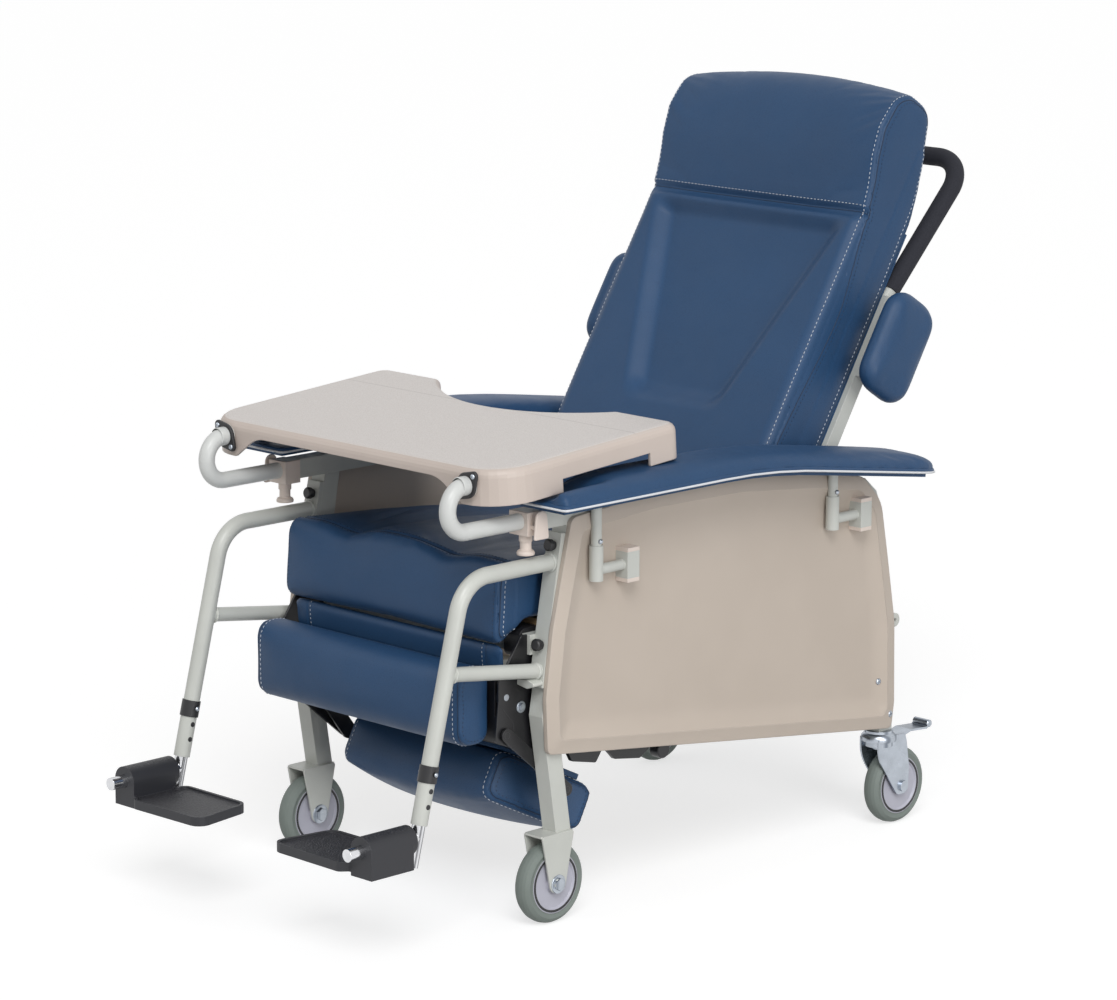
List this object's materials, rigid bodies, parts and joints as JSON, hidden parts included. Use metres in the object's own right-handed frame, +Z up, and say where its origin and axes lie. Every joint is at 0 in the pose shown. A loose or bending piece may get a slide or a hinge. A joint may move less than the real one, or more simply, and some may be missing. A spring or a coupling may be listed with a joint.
{
  "type": "patient recliner chair",
  "caption": "Wheeled patient recliner with tilting back, linked folding leg rest, slide-out tray, lift-off armrests, side panels and telescopic footrests with folding footplates.",
  "frame": {"origin": "floor level under the middle of the chair's bounding box", "axes": "+Z up, the sitter faces -Y, +X to the sitter's left; X = 0 is the middle plane"},
  "size_m": [0.73, 1.3999, 1.1891],
  "materials": {
    "frame_paint": "satin",
    "black_plastic": "matte",
    "panel_beige": "satin",
    "pale_beige": "satin",
    "plywood": "matte",
    "blue_vinyl": "satin",
    "zinc": "satin",
    "chrome": "polished",
    "black_steel": "satin",
    "foam": "matte",
    "tyre": "matte",
    "hub": "satin"
  },
  "bodies": {
    "base": {"front_legs": "frame_paint", "top_rails": "frame_paint", "lower_rails": "frame_paint", "rear_uprights": "frame_paint", "middle_posts": "frame_paint", "cross_tubes": "frame_paint", "cross_tube_caps": "black_plastic", "side_panels": "panel_beige", "armrest_brackets": "frame_paint", "bracket_caps": "pale_beige", "armrest_posts": "frame_paint", "armrest_boards": "plywood", "armrest_pads": "blue_vinyl", "seat_cushion": "blue_vinyl", "seat_board": "plywood", "seat_rails": "frame_paint", "front_apron": "blue_vinyl", "mechanism_plates": "black_steel", "pivot_pins": "zinc", "tray_clamps": "pale_beige", "footrest_hangers": "frame_paint", "hanger_knobs": "black_plastic", "hanger_collars": "black_plastic", "front_forks": "frame_paint", "caster_stems": "zinc"},
    "back": {"back_cushion": "blue_vinyl", "back_board": "plywood", "back_bars": "frame_paint", "push_handle": "frame_paint", "handle_grip": "foam", "wing_pads": "blue_vinyl", "wing_brackets": "frame_paint"},
    "leg_rest": {"swing_arms": "black_steel", "foot_pad": "blue_vinyl", "foot_board": "plywood"},
    "links": {"front_links": "black_steel"},
    "calf_rest": {"calf_pad": "blue_vinyl", "calf_board": "black_steel"},
    "tray_unit": {"tray": "panel_beige", "tray_tubes": "frame_paint"},
    "armrest_buttons_left": {"armrest_buttons_left": "zinc"},
    "clamp_knob_left": {"clamp_knob_left": "pale_beige"},
    "footrest_slider_left": {"footrest_slider_left": "chrome"},
    "footplate_left": {"footplate_left": "black_plastic"},
    "front_wheel_left": {"front_tyre_left": "tyre", "front_hub_left": "hub"},
    "caster_left": {"caster_fork_left": "zinc"},
    "rear_wheel_left": {"rear_tyre_left": "tyre", "rear_hub_left": "hub"},
    "brake_pedal_left": {"brake_pedal_left": "zinc"},
    "armrest_buttons_right": {"armrest_buttons_right": "zinc"},
    "clamp_knob_right": {"clamp_knob_right": "pale_beige"},
    "footrest_slider_right": {"footrest_slider_right": "chrome"},
    "footplate_right": {"footplate_right": "black_plastic"},
    "front_wheel_right": {"front_tyre_right": "tyre", "front_hub_right": "hub"},
    "caster_right": {"caster_fork_right": "zinc"},
    "rear_wheel_right": {"rear_tyre_right": "tyre", "rear_hub_right": "hub"},
    "brake_pedal_right": {"brake_pedal_right": "zinc"}
  },
  "joints": [
    {"name": "back_recline", "type": "hinge", "parent": "base", "child": "back", "pos_m": [0, 0.24, 0.45], "axis": [-1, 0, 0], "range_deg": [0, 43]},
    {"name": "leg_swing", "type": "hinge", "parent": "base", "child": "leg_rest", "pos_m": [0, -0.366, 0.352], "axis": [-1, 0, 0], "range_deg": [0, 151.2]},
    {"name": "link_turn", "type": "hinge", "parent": "leg_rest", "child": "links", "pos_m": [0, -0.244, 0.19], "axis": [1, 0, 0], "range_deg": [0, 202.4]},
    {"name": "calf_turn", "type": "hinge", "parent": "links", "child": "calf_rest", "pos_m": [0, -0.369, 0.296], "axis": [-1, 0, 0], "range_deg": [0, 136.4]},
    {"name": "tray_slide", "type": "slide", "parent": "base", "child": "tray_unit", "axis": [0, -1, 0], "range_m": [0, 0.15]},
    {"name": "armrest_button_left", "type": "slide", "parent": "base", "child": "armrest_buttons_left", "axis": [-1, 0, 0], "range_m": [0, 0.003], "stiffness_N_per_m": 400},
    {"name": "clamp_knob_turn_left", "type": "hinge", "parent": "base", "child": "clamp_knob_left", "pos_m": [0.265, -0.347, 0.587], "axis": [0, 0, 1], "continuous": true},
    {"name": "footrest_height_left", "type": "slide", "parent": "base", "child": "footrest_slider_left", "axis": [0, -0.2487, -0.9686], "range_m": [0, 0.08]},
    {"name": "footplate_fold_left", "type": "hinge", "parent": "footrest_slider_left", "child": "footplate_left", "pos_m": [0.265, -0.627, 0.184], "axis": [0, 1, 0], "range_deg": [0, 90]},
    {"name": "front_wheel_spin_left", "type": "hinge", "parent": "base", "child": "front_wheel_left", "pos_m": [0.265, -0.298, 0.0625], "axis": [1, 0, 0], "continuous": true},
    {"name": "caster_swivel_left", "type": "hinge", "parent": "base", "child": "caster_left", "pos_m": [0.265, 0.446, 0.145], "axis": [0, 0, 1], "continuous": true},
    {"name": "rear_wheel_spin_left", "type": "hinge", "parent": "caster_left", "child": "rear_wheel_left", "pos_m": [0.265, 0.484, 0.0625], "axis": [1, 0, 0], "continuous": true},
    {"name": "brake_press_left", "type": "hinge", "parent": "caster_left", "child": "brake_pedal_left", "pos_m": [0.265, 0.48, 0.14], "axis": [-1, 0, 0], "range_deg": [0, 8]},
    {"name": "armrest_button_right", "type": "slide", "parent": "base", "child": "armrest_buttons_right", "axis": [1, 0, 0], "range_m": [0, 0.003], "stiffness_N_per_m": 400},
    {"name": "clamp_knob_turn_right", "type": "hinge", "parent": "base", "child": "clamp_knob_right", "pos_m": [-0.265, -0.347, 0.587], "axis": [0, 0, 1], "continuous": true},
    {"name": "footrest_height_right", "type": "slide", "parent": "base", "child": "footrest_slider_right", "axis": [0, -0.2487, -0.9686], "range_m": [0, 0.08]},
    {"name": "footplate_fold_right", "type": "hinge", "parent": "footrest_slider_right", "child": "footplate_right", "pos_m": [-0.265, -0.627, 0.184], "axis": [0, -1, 0], "range_deg": [0, 90]},
    {"name": "front_wheel_spin_right", "type": "hinge", "parent": "base", "child": "front_wheel_right", "pos_m": [-0.265, -0.298, 0.0625], "axis": [1, 0, 0], "continuous": true},
    {"name": "caster_swivel_right", "type": "hinge", "parent": "base", "child": "caster_right", "pos_m": [-0.265, 0.446, 0.145], "axis": [0, 0, 1], "continuous": true},
    {"name": "rear_wheel_spin_right", "type": "hinge", "parent": "caster_right", "child": "rear_wheel_right", "pos_m": [-0.265, 0.484, 0.0625], "axis": [1, 0, 0], "continuous": true},
    {"name": "brake_press_right", "type": "hinge", "parent": "caster_right", "child": "brake_pedal_right", "pos_m": [-0.265, 0.48, 0.14], "axis": [-1, 0, 0], "range_deg": [0, 8]}
  ],
  "couplings": [
    {"joint": "leg_swing", "follows": "back_recline", "ratio": 3.5116},
    {"joint": "link_turn", "follows": "back_recline", "ratio": 4.7023},
    {"joint": "calf_turn", "follows": "back_recline", "ratio": 3.1674}
  ]
}
